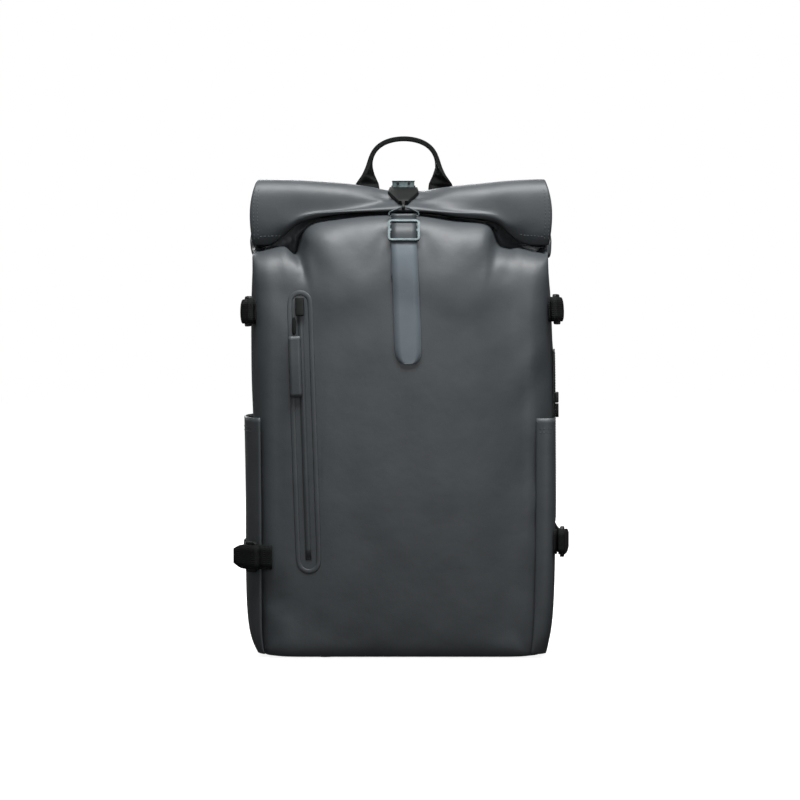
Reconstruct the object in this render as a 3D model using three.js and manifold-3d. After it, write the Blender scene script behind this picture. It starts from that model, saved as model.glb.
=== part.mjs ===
// A rolltop backpack of coated cloth, standing on its base.
// Millimetres, +Z up. The front of the bag faces -Y and the wearer's back is at +Y.
import * as THREE from "three";
import { mergeVertices } from "three/addons/utils/BufferGeometryUtils.js";
import Module from "manifold-3d";

const wasm = await Module();
wasm.setup();

// Main sizes of the bag
const bodyWidth = 312;
const bodyDepth = 140;
const shoulderHeight = 370;
const topHeight = 492;
const rollHeight = 70;
const rollWidth = 314;
const rollDepth = 40;
const neckSetback = 8;
const clothWall = 1.6;
const rollSlit = 0.8;
const clearance = 0.3;
const facetSag = 0.3;
const cornerRadius = 30;
const gussetFold = 16;

const halfWidth = bodyWidth / 2;
const halfDepth = bodyDepth / 2;
const halfRoll = rollWidth / 2;
const rollSheet = 2 * clothWall + rollSlit;

// Sections of the bag below its shoulders. Heights are shares of shoulderHeight, the width of
// half the bodyWidth, front and back of half the bodyDepth, corner of cornerRadius; crown is how
// far the front panel's middle stands out, as a share of half the bodyDepth.
const bodySections = [
  { height: 0, width: 0.915, front: 0.88, back: 0.88, corner: 0.7, crown: 0, shift: 0.01 },
  { height: 0.012, width: 0.95, front: 0.95, back: 0.93, corner: 0.8, crown: 0.01, shift: 0.01 },
  { height: 0.04, width: 0.971, front: 0.98, back: 0.96, corner: 0.9, crown: 0.03, shift: 0.01 },
  { height: 0.1, width: 0.989, front: 1, back: 0.98, corner: 1, crown: 0.06, shift: 0.017 },
  { height: 0.25, width: 0.993, front: 1.02, back: 1, corner: 1, crown: 0.1, shift: 0.022 },
  { height: 0.43, width: 0.994, front: 1.03, back: 1, corner: 1, crown: 0.12, shift: 0.023 },
  { height: 0.8, width: 0.995, front: 0.99, back: 0.99, corner: 0.95, crown: 0.1, shift: 0.016 },
  { height: 0.91, width: 0.993, front: 0.94, back: 0.97, corner: 0.9, crown: 0.09, shift: 0.012 },
  { height: 1, width: 0.988, front: 0.88, back: 0.94, corner: 0.8, crown: 0.08, shift: 0.008 },
];

// Columns of cloth across the bag, left to right. x is a share of half the width. top and low
// say how far the strap pinches the roll's top and its lower edge there, 0 to 1. crest is how
// far the front panel's highest line lies below topHeight, as a share of rollHeight.
const clothColumns = [
  { x: -1, top: 0, low: 0, crest: 1.1 },
  { x: -0.9, top: 0, low: 0, crest: 1.04 },
  { x: -0.8, top: 0, low: 0.3, crest: 0.985 },
  { x: -0.745, top: 0, low: 0.5, crest: 1.08 },
  { x: -0.715, top: 0, low: 0.6, crest: 1.1 },
  { x: -0.69, top: 0.01, low: 0.67, crest: 0.8 },
  { x: -0.65, top: 0.03, low: 0.71, crest: 0.655 },
  { x: -0.48, top: 0.1, low: 0.81, crest: 0.612 },
  { x: -0.32, top: 0.25, low: 0.92, crest: 0.555 },
  { x: -0.19, top: 0.52, low: 0.97, crest: 0.53 },
  { x: -0.09, top: 0.97, low: 1, crest: 0.522 },
  { x: 0.125, top: 0.98, low: 0.99, crest: 0.53 },
  { x: 0.25, top: 0.6, low: 0.88, crest: 0.58 },
  { x: 0.39, top: 0.4, low: 0.75, crest: 0.642 },
  { x: 0.59, top: 0.23, low: 0.7, crest: 0.65 },
  { x: 0.635, top: 0.19, low: 0.69, crest: 0.71 },
  { x: 0.665, top: 0.16, low: 0.62, crest: 0.98 },
  { x: 0.72, top: 0.1, low: 0.42, crest: 0.985 },
  { x: 0.8, top: 0.07, low: 0.15, crest: 1.02 },
  { x: 0.9, top: 0.02, low: 0, crest: 1.08 },
  { x: 1, top: 0, low: 0, crest: 1.12 },
];

// The rolled top from the neck round to the mouth inside it. Forward is a share of rollDepth in
// front of the neck and drop a share of rollHeight below topHeight, at the roll's ends and where
// the strap pinches it. low says how far a row follows the lower edge's pinch, not the top's.
const rollRows = [
  { forwardEnd: 0, dropEnd: 0.314, forwardMid: -0.025, dropMid: 0.286, low: 0 },
  { forwardEnd: 0.075, dropEnd: 0.143, forwardMid: -0.01, dropMid: 0.214, low: 0 },
  { forwardEnd: 0.275, dropEnd: 0.043, forwardMid: 0.075, dropMid: 0.171, low: 0 },
  { forwardEnd: 0.5, dropEnd: 0.029, forwardMid: 0.2, dropMid: 0.186, low: 0 },
  { forwardEnd: 0.725, dropEnd: 0.086, forwardMid: 0.375, dropMid: 0.236, low: 0 },
  { forwardEnd: 0.875, dropEnd: 0.214, forwardMid: 0.55, dropMid: 0.286, low: 0 },
  { forwardEnd: 0.925, dropEnd: 0.43, forwardMid: 0.725, dropMid: 0.336, low: 0.4 },
  { forwardEnd: 0.9, dropEnd: 0.714, forwardMid: 0.875, dropMid: 0.379, low: 0.8 },
  { forwardEnd: 0.85, dropEnd: 0.87, forwardMid: 0.96, dropMid: 0.407, low: 1 },
  { forwardEnd: 0.725, dropEnd: 0.957, forwardMid: 0.99, dropMid: 0.436, low: 1 },
  { forwardEnd: 0.575, dropEnd: 0.967, forwardMid: 0.94, dropMid: 0.46, low: 1 },
  { forwardEnd: 0.45, dropEnd: 0.914, forwardMid: 0.825, dropMid: 0.46, low: 1 },
  { forwardEnd: 0.39, dropEnd: 0.77, forwardMid: 0.65, dropMid: 0.443, low: 1 },
  { forwardEnd: 0.375, dropEnd: 0.514, forwardMid: 0.45, dropMid: 0.407, low: 1 },
];

// Width of the roll's ends, by the row's drop: narrower at the top corners
const rollEndShares = [
  { drop: 0, width: 0.95 },
  { drop: 0.15, width: 0.975 },
  { drop: 0.4, width: 1 },
  { drop: 0.7, width: 0.995 },
  { drop: 1, width: 0.975 },
];

// Shares along the shoulder curves at which a section of cloth is taken
const shoulderSteps = [0.15, 0.31, 0.47, 0.62, 0.76, 0.89];
const sideSteps = [0.25, 0.5, 0.75];
const cornerSteps = [0.5];
const neckDropBack = 0.63;

const lerp = THREE.MathUtils.lerp;

// Value of a named column of a table at a position along another column
function readTable(table, along, column, at) {
  if (at <= table[0][along]) return table[0][column];
  for (let i = 1; i < table.length; i += 1) {
    const before = table[i - 1];
    const after = table[i];
    if (at <= after[along]) {
      const share = (at - before[along]) / (after[along] - before[along]);
      return lerp(before[column], after[column], share);
    }
  }
  return table[table.length - 1][column];
}

function bezier(a, b, c, d, t) {
  const s = 1 - t;
  return s * s * s * a + 3 * s * s * t * b + 3 * s * t * t * c + t * t * t * d;
}

// The bag's section at a share of shoulderHeight
function bodySection(height) {
  const read = (column) => readTable(bodySections, "height", column, height);
  return {
    width: read("width") * halfWidth,
    front: read("front") * halfDepth,
    back: read("back") * halfDepth,
    corner: read("corner") * cornerRadius,
    crown: read("crown") * halfDepth,
    shift: read("shift") * halfWidth,
  };
}

const backNeckHeight = topHeight - neckDropBack * rollHeight;

// A point of the front panel: column share across, and 0 to 1 up to the shoulder, 1 to 2 on to
// the neck
function frontPoint(across, along) {
  if (along <= 1) {
    const s = bodySection(along);
    const y = -(s.front + s.crown * (1 - across * across));
    return new THREE.Vector3(s.shift + across * (s.width - s.corner), y, along * shoulderHeight);
  }
  const t = along - 1;
  const crest = topHeight - readTable(clothColumns, "x", "crest", across) * rollHeight;
  const rise = crest - shoulderHeight;
  const start = frontPoint(across, 1);
  const neckY = neckSetback - rollSheet / 2;
  const x = lerp(start.x, across * (halfRoll - rollSheet / 2), t);
  const y = bezier(start.y, start.y * 0.97, start.y * 0.7, neckY, t);
  const z = bezier(
    shoulderHeight,
    shoulderHeight + 0.64 * rise,
    crest + 0.176 * rise,
    crest - 0.06 * rise,
    t,
  );
  return new THREE.Vector3(x, y, z);
}

function backPoint(across, along) {
  if (along <= 1) {
    const s = bodySection(along);
    return new THREE.Vector3(s.shift + across * (s.width - s.corner), s.back, along * shoulderHeight);
  }
  const t = along - 1;
  const start = backPoint(across, 1);
  const neckY = neckSetback + rollSheet / 2;
  const x = lerp(start.x, across * (halfRoll - rollSheet / 2), t);
  const y = bezier(start.y, start.y, neckY + 0.25 * start.y, neckY, t);
  const rise = backNeckHeight - shoulderHeight;
  const z = bezier(
    shoulderHeight,
    shoulderHeight + 0.5 * rise,
    shoulderHeight + 0.75 * rise,
    backNeckHeight,
    t,
  );
  return new THREE.Vector3(x, y, z);
}

// One closed section of cloth: the front left to right, round the right side, the back right to
// left, and round the left side
function clothRing(along) {
  const lower = Math.min(along, 1);
  const t = Math.max(along - 1, 0);
  const corner = lerp(bodySection(lower).corner, rollSheet / 2, Math.min(1, t * 1.25));
  const front = clothColumns.map((column) => frontPoint(column.x, along));
  const back = clothColumns.map((column) => backPoint(column.x, along)).reverse();
  const right = sidePoints(front[front.length - 1], back[0], corner, 1, t);
  const left = sidePoints(back[back.length - 1], front[0], corner, -1, t);
  return [...front, ...right, ...back, ...left];
}

// Points from one panel's last column round a side to the other panel's first
function sidePoints(from, to, corner, outward, t) {
  const depth = to.y - from.y;
  const turn = Math.sign(depth);
  const radius = Math.min(corner, Math.abs(depth) * 0.45);
  const points = [];
  const place = (along, out) => {
    const share = Math.abs(along / depth);
    points.push(
      new THREE.Vector3(
        lerp(from.x, to.x, share) + outward * out,
        from.y + along,
        lerp(from.z, to.z, share),
      ),
    );
  };
  const fold = gussetFold * Math.sin(Math.PI * t) ** 2 * Math.min(1, Math.abs(depth) / halfDepth);
  for (const step of cornerSteps) {
    const angle = (step * Math.PI) / 2;
    place(turn * radius * (1 - Math.cos(angle)), corner * Math.sin(angle));
  }
  place(turn * radius, corner);
  for (const step of sideSteps) {
    const inward = fold * (1 - Math.abs(2 * step - 1));
    place(turn * radius + step * (depth - 2 * turn * radius), corner - inward);
  }
  place(depth - turn * radius, corner);
  for (const step of cornerSteps) {
    const angle = ((1 - step) * Math.PI) / 2;
    place(depth - turn * radius * (1 - Math.cos(angle)), corner * Math.sin(angle));
  }
  return points;
}

// The middle line of the rolled double layer at a column
function rollPoint(column, row) {
  const pinch = lerp(column.top, column.low, row.low);
  const forward = lerp(row.forwardEnd, row.forwardMid, pinch);
  const drop = lerp(row.dropEnd, row.dropMid, pinch);
  return new THREE.Vector2(neckSetback - forward * rollDepth, topHeight - drop * rollHeight);
}

// A closed section of the rolled double layer, offset from its middle line by half a thickness
function rollRing(index, halfThick) {
  const points = clothColumns.map((column) => {
    const here = rollPoint(column, rollRows[index]);
    const before = rollPoint(column, rollRows[Math.max(0, index - 1)]);
    const after = rollPoint(column, rollRows[Math.min(rollRows.length - 1, index + 1)]);
    if (index === 0) before.set(here.x, here.y - 1);
    const along = after.clone().sub(before).normalize();
    const drop = (topHeight - here.y) / rollHeight;
    const end = readTable(rollEndShares, "drop", "width", drop);
    const x = column.x * end * (halfRoll - rollSheet / 2);
    return { x, here, normal: new THREE.Vector2(-along.y, along.x) };
  });
  const layer = (side) =>
    points.map((p) => {
      const spot = p.here.clone().addScaledVector(p.normal, side * halfThick);
      return new THREE.Vector3(p.x, spot.x, spot.y);
    });
  const front = layer(1);
  const back = layer(-1).reverse();
  const edge = (from, to, outward) => {
    const middle = new THREE.Vector3();
    const shares = [0.12, 0.25, 0.37, 0.5, 0.63, 0.75, 0.88];
    return shares.map((share) => {
      middle.lerpVectors(from, to, share);
      return middle.clone().setX(middle.x + outward * halfThick * Math.sin(Math.PI * share));
    });
  };
  const right = edge(front[front.length - 1], back[0], 1);
  const left = edge(back[back.length - 1], front[0], -1);
  return [...front, ...right, ...back, ...left];
}

// A closed skin over outer rings, in through the mouth and down over the inner rings
function shellGeometry(outer, inner) {
  const rings = [...outer, ...inner.slice().reverse()];
  const count = rings[0].length;
  const positions = [];
  const push = (...points) => points.forEach((p) => positions.push(p.x, p.y, p.z));
  for (let r = 1; r < rings.length; r += 1) {
    for (let i = 0; i < count; i += 1) {
      const j = (i + 1) % count;
      push(rings[r - 1][i], rings[r - 1][j], rings[r][j]);
      push(rings[r - 1][i], rings[r][j], rings[r][i]);
    }
  }
  const middle = (ring) =>
    ring.reduce((sum, p) => sum.add(p), new THREE.Vector3()).divideScalar(count);
  const first = rings[0];
  const last = rings[rings.length - 1];
  const baseCentre = middle(first);
  const floorCentre = middle(last);
  for (let i = 0; i < count; i += 1) {
    const j = (i + 1) % count;
    push(baseCentre, first[j], first[i]);
    push(floorCentre, last[i], last[j]);
  }
  return new THREE.BufferGeometry().setAttribute(
    "position",
    new THREE.Float32BufferAttribute(positions, 3),
  );
}

// Rings moved inwards by the cloth's thickness, along the outer skin's own normals
function insetRings(rings, wall) {
  const count = rings[0].length;
  const normal = new THREE.Vector3();
  return rings.map((ring, r) =>
    ring.map((point, i) => {
      const above = rings[Math.min(rings.length - 1, r + 1)][i];
      const below = rings[Math.max(0, r - 1)][i];
      const next = ring[(i + 1) % count];
      const previous = ring[(i + count - 1) % count];
      const up = above.clone().sub(below).normalize();
      const around = next.clone().sub(previous).normalize();
      normal.crossVectors(around, up).normalize();
      return point.clone().addScaledVector(normal, -wall);
    }),
  );
}

const bodyRings = bodySections.map((section) => clothRing(section.height));
const shoulderRings = shoulderSteps.map((step) => clothRing(1 + step));
const neckRing = clothRing(2);
const firstRoll = rollRing(0, rollSheet / 2);
const riseRing = neckRing.map((point, i) => point.clone().lerp(firstRoll[i], 0.5));
const rollRings = rollRows.map((row, index) => rollRing(index, rollSheet / 2));
const lowerRings = [...bodyRings, ...shoulderRings, neckRing, riseRing];
const outerRings = [...lowerRings, ...rollRings];
const innerLower = insetRings([...lowerRings, firstRoll], clothWall).slice(0, -1);
innerLower[0].forEach((point) => {
  point.z = clothWall;
});
const innerRings = [...innerLower, ...rollRows.map((row, index) => rollRing(index, rollSlit / 2))];

const bagCloth = finish(0x42474a, 0.55, 0);
const strapCloth = finish(0x646c71, 0.5, 0);
const webbing = finish(0x171a19, 0.85, 0);
const blackPlastic = finish(0x1b1e1e, 0.45, 0);
const greyMetal = finish(0xa3b0b5, 0.35, 0.9);
const greyBlock = finish(0x62716f, 0.45, 0.2);
const padMesh = finish(0x25292a, 0.9, 0);

function finish(color, roughness, metalness) {
  return new THREE.MeshStandardMaterial({ color, roughness, metalness });
}

const backpack = new THREE.Group();
function addPiece(name, geometry, material) {
  const mesh = new THREE.Mesh(geometry, material.clone());
  mesh.name = name;
  backpack.add(mesh);
  return mesh;
}

addPiece("body_shell", shellGeometry(outerRings, innerRings), bagCloth);

// A closed sheet with thickness between an outer and an inner grid of points. With loop set its
// last row joins its first.
function sheetGeometry(outer, inner, loop = false) {
  const positions = [];
  const quad = (a, b, c, d) => {
    for (const p of [a, b, c, a, c, d]) positions.push(p.x, p.y, p.z);
  };
  const rows = outer.length;
  const last = outer[0].length - 1;
  for (let r = 0; r < (loop ? rows : rows - 1); r += 1) {
    const n = (r + 1) % rows;
    for (let c = 0; c < last; c += 1) {
      quad(outer[r][c], outer[r][c + 1], outer[n][c + 1], outer[n][c]);
      quad(inner[r][c], inner[n][c], inner[n][c + 1], inner[r][c + 1]);
    }
    quad(outer[r][0], outer[n][0], inner[n][0], inner[r][0]);
    quad(outer[r][last], inner[r][last], inner[n][last], outer[n][last]);
  }
  for (let c = 0; !loop && c < last; c += 1) {
    const top = rows - 1;
    quad(outer[0][c], inner[0][c], inner[0][c + 1], outer[0][c + 1]);
    quad(outer[top][c], outer[top][c + 1], inner[top][c + 1], inner[top][c]);
  }
  return new THREE.BufferGeometry().setAttribute(
    "position",
    new THREE.Float32BufferAttribute(positions, 3),
  );
}

// A flat band along a path. Each station holds its middle, its half width as a vector across,
// and its thickness; the band's outer side is the path's direction crossed with across.
function bandGeometry(stations) {
  const sides = [];
  stations.forEach((station, i) => {
    const before = stations[Math.max(0, i - 1)].at;
    const after = stations[Math.min(stations.length - 1, i + 1)].at;
    const along = after.clone().sub(before).normalize();
    const out = new THREE.Vector3().crossVectors(along, station.across).normalize();
    sides.push(out.multiplyScalar(station.thick / 2));
  });
  const face = (sign) =>
    stations.map((station, i) =>
      [1, -1].map((edge) =>
        station.at.clone().addScaledVector(station.across, edge).addScaledVector(sides[i], sign),
      ),
    );
  return sheetGeometry(face(1), face(-1));
}

const vec = (x, y, z) => new THREE.Vector3(x, y, z);

// The column share and height share at which the front panel passes a place seen from the front
function frontShares(x, z) {
  let low = 0;
  let high = 1.72;
  let across = 0;
  for (let i = 0; i < 30; i += 1) {
    const along = (low + high) / 2;
    const edge = frontPoint(1, along).x;
    const centre = (edge + frontPoint(-1, along).x) / 2;
    across = (x - centre) / (edge - centre);
    if (frontPoint(across, along).z < z) low = along;
    else high = along;
  }
  return { across, along: (low + high) / 2 };
}

// A place on the front panel, pushed out along the panel's own normal
function onFront(x, z, offset) {
  const { across, along } = frontShares(x, z);
  const step = 0.01;
  const here = frontPoint(across, along);
  const up = frontPoint(across, along + step).sub(frontPoint(across, along - step));
  const right = frontPoint(across + step, along).sub(frontPoint(across - step, along));
  const normal = new THREE.Vector3().crossVectors(right, up).normalize();
  return here.addScaledVector(normal, offset);
}

// The closing strap: its sewn end, up the front, round the ring, through the slider and down
const strapCentre = 3;
const strapWidth = 25.9;
const strapEndWidth = 29;
const strapThick = 1.4;
const strapEndHeight = topHeight - 2.7 * rollHeight;
const strapSewnHeight = topHeight - 1.43 * rollHeight;
const strapEndDrift = 5;
const ringWire = 2.2;
const sliderWire = 2.4;
const sliderWidth = 33;
const sliderStand = { foot: 5.3, head: 10.8 };
const ringReach = { y: 5, z: 5 };

// The slider hangs in front of the cloth, the ring leans from it to the hook in the roll
function hardwarePoint(drop, stand) {
  const z = topHeight - drop * rollHeight;
  return { y: onFront(strapCentre, z, 0).y - stand, z };
}
const sliderFoot = hardwarePoint(0.88, sliderStand.foot);
const sliderHead = hardwarePoint(0.6, sliderStand.head);
const ringBar = { y: sliderHead.y + ringReach.y, z: sliderHead.z + ringReach.z };
const ringTip = { y: neckSetback - 1.15 * rollDepth, z: topHeight - 0.4 * rollHeight };

const strapWrap = ringWire / 2 + clearance + strapThick / 2;
const sliderWrap = sliderWire / 2 + 2 * clearance + strapThick / 2;
const strapBase = clearance + facetSag + strapThick / 2;
const strapOver = strapBase + strapThick + clearance;
const sliderLean = new THREE.Vector2(sliderHead.y - sliderFoot.y, sliderHead.z - sliderFoot.z);
const sliderHeight = sliderLean.length() + sliderWire;
sliderLean.normalize();
const sliderOut = new THREE.Vector2(-sliderLean.y, sliderLean.x);

function strapPath() {
  const beside = (bar, side, wrap) =>
    vec(strapCentre, bar.y + side * sliderOut.x * wrap, bar.z + side * sliderOut.y * wrap);
  const middle = {
    y: (sliderFoot.y + sliderHead.y) / 2,
    z: (sliderFoot.z + sliderHead.z) / 2,
  };
  const sewn = [0, 0.3, 0.6, 0.82].map((share) =>
    onFront(strapCentre, lerp(strapSewnHeight, sliderHead.z, share), strapBase),
  );
  const wrapped = [-30, 10, 50, 90, 130, 170, 205].map((degrees) => {
    const angle = THREE.MathUtils.degToRad(degrees);
    return vec(
      strapCentre,
      ringBar.y + Math.cos(angle) * strapWrap,
      ringBar.z + Math.sin(angle) * strapWrap,
    );
  });
  const through = [
    beside(sliderHead, -1, sliderWrap),
    beside(middle, 1, sliderWrap),
    beside(sliderFoot, -1, sliderWrap),
  ];
  const tail = [0.1, 0.22, 0.34, 0.5, 0.7, 0.88, 0.95, 0.985, 1].map((share) => {
    const z = lerp(sliderFoot.z, strapEndHeight, share);
    const offset = z > strapSewnHeight - strapWidth / 2 ? strapOver : strapBase;
    return onFront(strapCentre + strapEndDrift * share, z, offset);
  });
  return { sewn, wrapped, through, tail };
}

function strapGeometry() {
  const { sewn, wrapped, through, tail } = strapPath();
  const points = [...sewn, ...wrapped, ...through, ...tail];
  const tailStart = points.length - tail.length;
  const endShares = { 2: 0.88, 1: 0.62, 0: 0.28 };
  return bandGeometry(
    points.map((at, i) => {
      const down = Math.max(0, (i - tailStart) / (tail.length - 1));
      const width = lerp(strapWidth, strapEndWidth, down) * (endShares[points.length - 1 - i] ?? 1);
      return { at, across: vec(-width / 2, 0, 0), thick: strapThick };
    }),
  );
}
addPiece("closure_strap", strapGeometry(), strapCloth);

// The slider frame: a flat rectangle of wire with a bar across its middle
function sliderGeometry() {
  const frame = roundedFrame(sliderWidth, sliderHeight, 4, sliderWire);
  const bar = new THREE.BoxGeometry(sliderWidth - sliderWire, sliderWire, sliderWire);
  return joined([frame, bar]);
}

// A rectangular frame of the given wire with rounded corners, flat in its own X and Y
function roundedFrame(width, height, radius, wire, thick = wire) {
  const outline = roundedRectangle(new THREE.Shape(), width, height, radius);
  const inner = Math.max(0.6, radius - wire);
  outline.holes.push(
    roundedRectangle(new THREE.Path(), width - 2 * wire, height - 2 * wire, inner),
  );
  const frame = new THREE.ExtrudeGeometry(outline, {
    depth: thick,
    bevelEnabled: false,
    curveSegments: 2,
  });
  return frame.translate(0, 0, -thick / 2);
}

function roundedRectangle(path, width, height, radius) {
  const x = width / 2 - radius;
  const y = height / 2 - radius;
  path.moveTo(x, -y - radius);
  path.absarc(x, -y, radius, -Math.PI / 2, 0);
  path.absarc(x, y, radius, 0, Math.PI / 2);
  path.absarc(-x, y, radius, Math.PI / 2, Math.PI);
  path.absarc(-x, -y, radius, Math.PI, 1.5 * Math.PI);
  return path;
}

// Closed pieces joined into one solid
function joined(geometries) {
  const solid = geometries.map(asSolid).reduce((sum, next) => sum.add(next));
  return asGeometry(solid);
}

function asSolid(geometry) {
  const bare = geometry.clone();
  bare.deleteAttribute("normal");
  bare.deleteAttribute("uv");
  const merged = mergeVertices(bare, 1e-3);
  const mesh = new wasm.Mesh({
    numProp: 3,
    vertProperties: merged.attributes.position.array,
    triVerts: new Uint32Array(merged.index.array),
  });
  return new wasm.Manifold(mesh);
}

function asGeometry(solid) {
  const { vertProperties, triVerts } = solid.getMesh();
  const geometry = new THREE.BufferGeometry();
  geometry.setAttribute("position", new THREE.BufferAttribute(vertProperties, 3));
  geometry.setIndex(new THREE.BufferAttribute(triVerts, 1));
  return geometry;
}

const slider = addPiece("strap_slider", sliderGeometry(), greyMetal);
const sliderTilt = Math.atan2(sliderLean.y, sliderLean.x);
slider.rotation.x = sliderTilt;
slider.position.set(
  strapCentre,
  (sliderFoot.y + sliderHead.y) / 2,
  (sliderFoot.z + sliderHead.z) / 2,
);

// The wire ring: a bar in the strap's loop, short legs, and two slopes to the tip in the hook
const ringHalfWidth = 15.5;
const ringShoulder = 0.42;
const ringTipHalfWidth = 3.2;
function ringGeometry() {
  const place = (x, share) =>
    vec(
      strapCentre + x,
      lerp(ringBar.y, ringTip.y, share),
      lerp(ringBar.z, ringTip.z, share),
    );
  const corners = [
    place(-ringHalfWidth, 0),
    place(ringHalfWidth, 0),
    place(ringHalfWidth, ringShoulder),
    place(ringTipHalfWidth, 1),
    place(-ringTipHalfWidth, 1),
    place(-ringHalfWidth, ringShoulder),
  ];
  const path = new THREE.CurvePath();
  const bend = 0.18;
  corners.forEach((corner, i) => {
    const next = corners[(i + 1) % corners.length];
    const after = corners[(i + 2) % corners.length];
    path.add(
      new THREE.LineCurve3(corner.clone().lerp(next, bend), next.clone().lerp(corner, bend)),
    );
    path.add(
      new THREE.QuadraticBezierCurve3(
        next.clone().lerp(corner, bend),
        next,
        next.clone().lerp(after, bend),
      ),
    );
  });
  return new THREE.TubeGeometry(path, 36, ringWire / 2, 6, true);
}
addPiece("wire_ring", ringGeometry(), greyMetal);

// The hook that lies in the pinched roll, from the block at its back to the finger in the ring
const hookCentre = 2.5;
const hookWidth = 32;
const hookThick = 4;
const hookFinger = 3.4;
const hookFingerThick = 2;
const hookBack = 0;
const hookFront = -30;
const hookRide = 0.8;
// Height of the roll's upper side at a place seen from above
function rollTop(x, y) {
  const pinch = readTable(clothColumns, "x", "top", x / halfRoll);
  const line = rollRows.slice(1, 9).map((row) => ({
    forward: lerp(row.forwardEnd, row.forwardMid, pinch),
    drop: lerp(row.dropEnd, row.dropMid, pinch),
  }));
  const drop = readTable(line, "forward", "drop", (neckSetback - y) / rollDepth);
  return topHeight - drop * rollHeight + rollSheet / 2;
}

function hookGeometry() {
  const rows = [
    { y: hookBack, width: 0.9, lift: 0 },
    { y: lerp(hookBack, hookFront, 0.3), width: 1, lift: 0 },
    { y: lerp(hookBack, hookFront, 0.7), width: 0.55, lift: 0 },
    { y: hookFront, width: 0.3, lift: 1.6 },
  ];
  const body = bandGeometry(
    rows.map((row) => {
      const half = (hookWidth * row.width) / 2;
      const under = Math.max(...[-half, 0, half].map((x) => rollTop(hookCentre + x, row.y)));
      return {
        at: vec(hookCentre, row.y, under + hookRide + row.lift + hookThick / 2),
        across: vec(-half, 0, 0),
        thick: hookThick,
      };
    }),
  );
  const wrap = ringWire / 2 + clearance + hookFingerThick / 2;
  const start = rollTop(hookCentre, hookFront + 3) + hookRide + hookThick / 2;
  const turn = [60, 100, 140, 180, 220, 260].map((degrees) => {
    const angle = THREE.MathUtils.degToRad(degrees);
    return { y: ringTip.y + Math.cos(angle) * wrap, z: ringTip.z + Math.sin(angle) * wrap };
  });
  const finger = bandGeometry(
    [{ y: hookFront + 2, z: start + 1 }, ...turn].map((spot) => ({
      at: vec(hookCentre, spot.y, spot.z),
      across: vec(-hookFinger / 2, 0, 0),
      thick: hookFingerThick,
    })),
  );
  return joined([body, finger]);
}
addPiece("hook_body", hookGeometry(), blackPlastic);

// The grey block on the back end of the hook, over the roll's crest
const blockWidth = 25;
const blockDepth = 10;
const blockHeight = 10;
const blockPin = 2.5;
function blockGeometry() {
  const outline = roundedRectangle(new THREE.Shape(), blockWidth, blockDepth, 2);
  const block = new THREE.ExtrudeGeometry(outline, {
    depth: blockHeight - 2,
    bevelThickness: 1,
    bevelSize: -1,
    bevelOffset: 0,
    bevelSegments: 1,
    curveSegments: 1,
  });
  return block;
}
const block = addPiece("hook_block", blockGeometry(), greyBlock);
block.position.set(hookCentre, hookBack + blockDepth / 2 + 1.2, topHeight - 0.14 * rollHeight + 1.4);

// The webbing that holds the hook, from the back panel up behind the roll
const webWidth = 25;
const webThick = 1.6;
function onBack(x, along, offset) {
  const edge = backPoint(1, along).x;
  const centre = (edge + backPoint(-1, along).x) / 2;
  const across = (x - centre) / (edge - centre);
  const here = backPoint(across, along);
  const up = backPoint(across, along + 0.01).sub(backPoint(across, along - 0.01));
  const normal = vec(0, up.z, -up.y).normalize();
  return here.addScaledVector(normal, offset);
}

const webBase = clearance + webThick / 2;
const behindRoll = neckSetback + rollSheet / 2;
function backLoopGeometry() {
  const low = shoulderSteps.slice(1).map((step) => onBack(hookCentre, 1 + step, webBase + 0.2));
  const high = [
    vec(hookCentre, behindRoll + webBase + 1, topHeight - 0.4 * rollHeight),
    vec(hookCentre, behindRoll + webBase + 1.6, topHeight - 0.2 * rollHeight),
    vec(hookCentre, behindRoll + webBase + 1.2, topHeight - 0.06 * rollHeight),
  ];
  return bandGeometry(
    [...low, ...high].map((at) => ({ at, across: vec(webWidth / 2, 0, 0), thick: webThick })),
  );
}
addPiece("back_loop", backLoopGeometry(), webbing);

// The carry handle: webbing sewn flat to the back panel, twisted edge on above the roll
const handleCentre = 3;
const handleSpread = 39;
const handleRise = 55;
const handleWidth = 28;
const handleThick = 2.2;
const handleFolded = 4.8;
const handleRows = [
  { spread: 1, rise: 0, twist: 0, width: 1 },
  { spread: 0.98, rise: 0.14, twist: 0.3, width: 0.9 },
  { spread: 0.95, rise: 0.3, twist: 0.65, width: 0.7 },
  { spread: 0.93, rise: 0.45, twist: 0.9, width: 0.55 },
  { spread: 0.9, rise: 0.6, twist: 1, width: 0.5 },
  { spread: 0.8, rise: 0.77, twist: 1, width: 0.5 },
  { spread: 0.6, rise: 0.9, twist: 1, width: 0.5 },
  { spread: 0.32, rise: 0.975, twist: 1, width: 0.5 },
  { spread: 0, rise: 1, twist: 1, width: 0.5 },
];
function handleGeometry() {
  const foot = topHeight - 0.14 * rollHeight;
  const footY = behindRoll + clearance + handleThick / 2 + 2;
  const stations = [];
  const side = (sign) => {
    const sewn = [1.55, 1.7, 1.85, 1.97].map((along) => ({
      at: onBack(handleCentre + sign * handleSpread, along, clearance + handleThick / 2),
      across: vec(handleWidth / 2, 0, 0),
      thick: handleThick,
    }));
    const loop = handleRows.map((row) => {
      const angle = (row.twist * Math.PI) / 2;
      const x = handleCentre + sign * row.spread * handleSpread;
      const half = (handleWidth * row.width) / 2;
      return {
        at: vec(x, footY + 4 * row.twist, foot + row.rise * handleRise),
        across: vec(Math.cos(angle) * half, -sign * Math.sin(angle) * half, 0),
        thick: lerp(handleThick, handleFolded, row.twist),
      };
    });
    return [...sewn, ...loop];
  };
  stations.push(...side(-1));
  const right = side(1).slice(0, -1).reverse();
  right.forEach((station) => station.across.negate());
  stations.push(...right);
  return bandGeometry(stations);
}
addPiece("carry_handle", handleGeometry(), webbing);

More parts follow.
